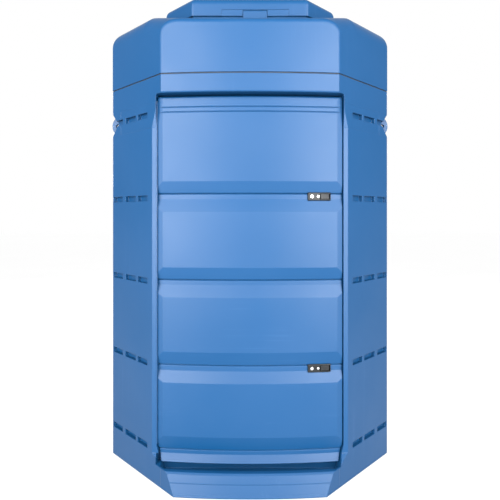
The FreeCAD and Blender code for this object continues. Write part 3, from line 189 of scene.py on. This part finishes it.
def dull_plastic(name, colour, roughness, grain=700.0):
    """Moulded plastic with a fine spark-eroded grain."""
    material, nodes, links, shader = new_material(name)
    space = object_space(nodes, links)
    light = tuple(min(1.0, part * 1.25 + 0.01) for part in colour)
    tone = ramp(nodes, links, noise(nodes, links, space, 14.0), *NOISE_MID, 0.0, 0.6)
    links.new(mix_colour(nodes, links, tone, colour, light), shader.inputs["Base Color"])
    gloss = ramp(nodes, links, noise(nodes, links, space, 40.0), *NOISE_MID,
                 roughness - 0.05, roughness + 0.06)
    links.new(gloss, shader.inputs["Roughness"])
    shader.inputs["Specular IOR Level"].default_value = DULL_SHEEN
    height = noise(nodes, links, space, grain, 2.0)
    links.new(bump(nodes, links, height, 0.00008, soft_edges(nodes, PLASTIC_EDGE)), shader.inputs["Normal"])
    return material


def soft_rubber():
    material, nodes, links, shader = new_material("soft_rubber")
    space = object_space(nodes, links)
    dust = ramp(nodes, links, noise(nodes, links, space, 22.0), 0.45, 0.75, 0.0, 0.5)
    links.new(mix_colour(nodes, links, dust, (0.012, 0.012, 0.013), (0.035, 0.034, 0.032)),
              shader.inputs["Base Color"])
    shader.inputs["Roughness"].default_value = 0.75
    links.new(bump(nodes, links, noise(nodes, links, space, 500.0), 0.00012), shader.inputs["Normal"])
    return material


def metal(name, colour, roughness, grain_stretch, grain_depth):
    """Bare metal with grain that runs along the least stretched axis and a few duller spots."""
    material, nodes, links, shader = new_material(name)
    shader.inputs["Metallic"].default_value = 1.0
    space = object_space(nodes, links)
    dark = tuple(part * 0.8 for part in colour)
    spots = ramp(nodes, links, noise(nodes, links, space, 30.0), 0.5, 0.75, 0.0, 0.7)
    links.new(mix_colour(nodes, links, spots, colour, dark), shader.inputs["Base Color"])
    grain = noise(nodes, links, object_space(nodes, links, grain_stretch), 60.0, 2.0)
    links.new(ramp(nodes, links, grain, *NOISE_MID, roughness - 0.08, roughness + 0.10),
              shader.inputs["Roughness"])
    links.new(bump(nodes, links, grain, grain_depth, soft_edges(nodes, METAL_EDGE)), shader.inputs["Normal"])
    return material


def painted_casting(name, colour):
    """Sprayed paint over a sand casting: soft lumps under a semi-gloss coat."""
    material, nodes, links, shader = new_material(name)
    space = object_space(nodes, links)
    dark = tuple(part * 0.82 for part in colour)
    tone = ramp(nodes, links, noise(nodes, links, space, 18.0), 0.4, 0.7, 0.0, 0.8)
    links.new(mix_colour(nodes, links, tone, colour, dark), shader.inputs["Base Color"])
    shader.inputs["Roughness"].default_value = 0.42
    shader.inputs["Coat Weight"].default_value = 0.25
    links.new(bump(nodes, links, noise(nodes, links, space, 160.0), 0.0003, soft_edges(nodes, CASTING_EDGE)),
              shader.inputs["Normal"])
    return material


def paint_nodes(frame):
    """One material per slot of the record, given to each of its nodes."""
    blue = moulded_blue("moulded_blue", UPRIGHT_SCUFFS)
    looks = {
        "casing": blue, "roof": blue,
        "door": moulded_blue("door_blue", LEVEL_SCUFFS),
        "hinge": painted_casting("hinge_blue", (0.002, 0.045, 0.130)),
        "seal": soft_rubber(),
        "tank": dull_plastic("tank_polyethylene", (0.045, 0.047, 0.050), 0.5, 320.0),
        "steel": metal("brushed_steel", (0.60, 0.61, 0.62), 0.30, DRAWN_GRAIN, 0.00005),
        "lock": dull_plastic("lock_black", (0.008, 0.009, 0.010), 0.34),
        "fill_line": dull_plastic("pipe_grey", (0.085, 0.090, 0.095), 0.45),
        "brass": metal("brass", (0.62, 0.42, 0.16), 0.30, EVEN_GRAIN, 0.00006),
        "black": dull_plastic("fitting_black", (0.016, 0.016, 0.018), 0.45),
        "board": dull_plastic("board_grey", (0.26, 0.265, 0.265), 0.5, 420.0),
        "pump": painted_casting("casting_grey", (0.13, 0.135, 0.14)),
        "motor": painted_casting("motor_grey", (0.012, 0.014, 0.016)),
        "control": dull_plastic("control_grey", (0.12, 0.13, 0.135), 0.45),
        "display": dull_plastic("display_green", (0.17, 0.21, 0.16), 0.15, 900.0),
        "red": dull_plastic("signal_red", (0.42, 0.012, 0.009), 0.32),
    }
    for entry in frame["record"]["subparts"]:
        mesh = frame["nodes"][entry["node"]].data
        mesh.materials.clear()
        mesh.materials.append(looks[entry["material_slot"]])
    return looks


# --- small pieces ------------------------------------------------------------------------------
def mesh_piece(name, vertices, faces, material, body):
    mesh = bpy.data.meshes.new(name)
    mesh.from_pydata(vertices, [], faces)
    mesh.materials.append(material)
    piece = bpy.data.objects.new(name, mesh)
    bpy.context.scene.collection.objects.link(piece)
    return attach(piece, body)


def block(centre, across, along, depth):
    """Corners and faces of a small block; across, along and depth are half vectors."""
    corners = [centre + across * i + along * j + depth * k for i in (-1, 1) for j in (-1, 1) for k in (-1, 1)]
    faces = [(0, 1, 3, 2), (4, 6, 7, 5), (0, 4, 5, 1), (2, 3, 7, 6), (0, 2, 6, 4), (1, 5, 7, 3)]
    return [tuple(corner) for corner in corners], faces


def dial_marks(looks):
    """Raised tick marks on the dial of the level gauge, along the needle's sweep."""
    low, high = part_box("level_gauge")
    centre = Vector(((low.x + high.x) / 2, 0.0, (low.z + high.z) / 2))
    floor_y = low.y + DIAL_FACE_DEPTH
    vertices, faces = [], []
    for index in range(DIAL_TICKS):
        angle = DIAL_SWEEP * (index / (DIAL_TICKS - 1) - 0.5)
        outward = Vector((math.sin(angle), 0.0, math.cos(angle)))
        sideways = Vector((math.cos(angle), 0.0, -math.sin(angle)))
        length = LONG_TICK if index % 2 == 0 else SHORT_TICK
        middle = centre + outward * (TICK_REACH - length) + Vector((0.0, floor_y - TICK_SINK, 0.0))
        corners, sides = block(middle, sideways * TICK_HALF_WIDTH, outward * length,
                               Vector((0.0, TICK_HALF_DEPTH, 0.0)))
        faces += [tuple(number + len(vertices) for number in side) for side in sides]
        vertices += corners
    return mesh_piece("dial_marks", vertices, faces, looks["black"], "tank")


# --- studio ------------------------------------------------------------------------------------
def softbox(name, place, target, width, height, power):
    lamp = bpy.data.lights.new(name, "AREA")
    lamp.shape = "RECTANGLE"
    lamp.size, lamp.size_y = width, height
    lamp.energy = power
    box = bpy.data.objects.new(name, lamp)
    box.location = place
    box.rotation_euler = (Vector(target) - Vector(place)).to_track_quat("-Z", "Y").to_euler()
    bpy.context.scene.collection.objects.link(box)


def studio_walls():
    """White walls behind and in front of the tank, dimmer ones at its sides and above."""
    world = bpy.data.worlds.new("studio_walls")
    world.use_nodes = True
    nodes, links = world.node_tree.nodes, world.node_tree.links
    split = nodes.new("ShaderNodeSeparateXYZ")
    links.new(nodes.new("ShaderNodeTexCoord").outputs["Generated"], split.inputs["Vector"])
    depth = nodes.new("ShaderNodeMath")
    depth.operation = "ABSOLUTE"
    links.new(split.outputs["Y"], depth.inputs[0])
    links.new(ramp(nodes, links, depth.outputs[0], *WALL_BLEND, SIDE_WALL, 1.0),
              nodes["Background"].inputs["Strength"])
    nodes["Background"].inputs["Color"].default_value = WHITE
    return world


def studio():
    bpy.context.scene.world = studio_walls()
    bpy.context.scene.view_settings.view_transform = "Standard"
    for name, place, width, power in KEY_LAMPS:
        softbox(name, place, KEY_TARGET, width, KEY_HEIGHT, power)
    x, y, z = REAR_PLACE
    for side in (-1, 1):
        softbox("rear_panel", (x * side, y, z), REAR_TARGET, *REAR_SIZE, REAR_POWER)

    corners = [(-FLOOR_HALF, -FLOOR_HALF, 0), (FLOOR_HALF, -FLOOR_HALF, 0),
               (FLOOR_HALF, FLOOR_HALF, 0), (-FLOOR_HALF, FLOOR_HALF, 0)]
    mesh = bpy.data.meshes.new("studio_floor")
    mesh.from_pydata(corners, [], [(0, 1, 2, 3)])
    floor = bpy.data.objects.new("studio_floor", mesh)
    material, nodes, links, shader = new_material("floor_white")
    tone = ramp(nodes, links, noise(nodes, links, object_space(nodes, links), 0.8), *NOISE_MID, 0.0, 1.0)
    links.new(mix_colour(nodes, links, tone, *FLOOR_TONES), shader.inputs["Base Color"])
    shader.inputs["Roughness"].default_value = 0.9
    shader.inputs["Emission Color"].default_value = WHITE
    shader.inputs["Emission Strength"].default_value = FLOOR_GLOW
    mesh.materials.append(material)
    bpy.context.scene.collection.objects.link(floor)


def camera():
    lens = bpy.data.cameras.new("camera")
    lens.lens = CAMERA_LENS
    lens.shift_y = CAMERA_SHIFT_Y
    eye = bpy.data.objects.new("camera", lens)
    eye.location = CAMERA_PLACE
    eye.rotation_euler = (math.pi / 2, 0.0, 0.0)
    bpy.context.scene.collection.objects.link(eye)
    bpy.context.scene.camera = eye


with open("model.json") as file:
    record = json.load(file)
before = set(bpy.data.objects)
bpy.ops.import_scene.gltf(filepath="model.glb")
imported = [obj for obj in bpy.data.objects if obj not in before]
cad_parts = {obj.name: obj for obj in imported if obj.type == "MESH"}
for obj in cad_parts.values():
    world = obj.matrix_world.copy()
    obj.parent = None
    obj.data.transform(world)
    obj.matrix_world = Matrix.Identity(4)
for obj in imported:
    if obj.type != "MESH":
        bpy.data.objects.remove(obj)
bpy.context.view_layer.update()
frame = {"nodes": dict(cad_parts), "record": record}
looks = paint_nodes(frame)
dial_marks(looks)
studio()
camera()
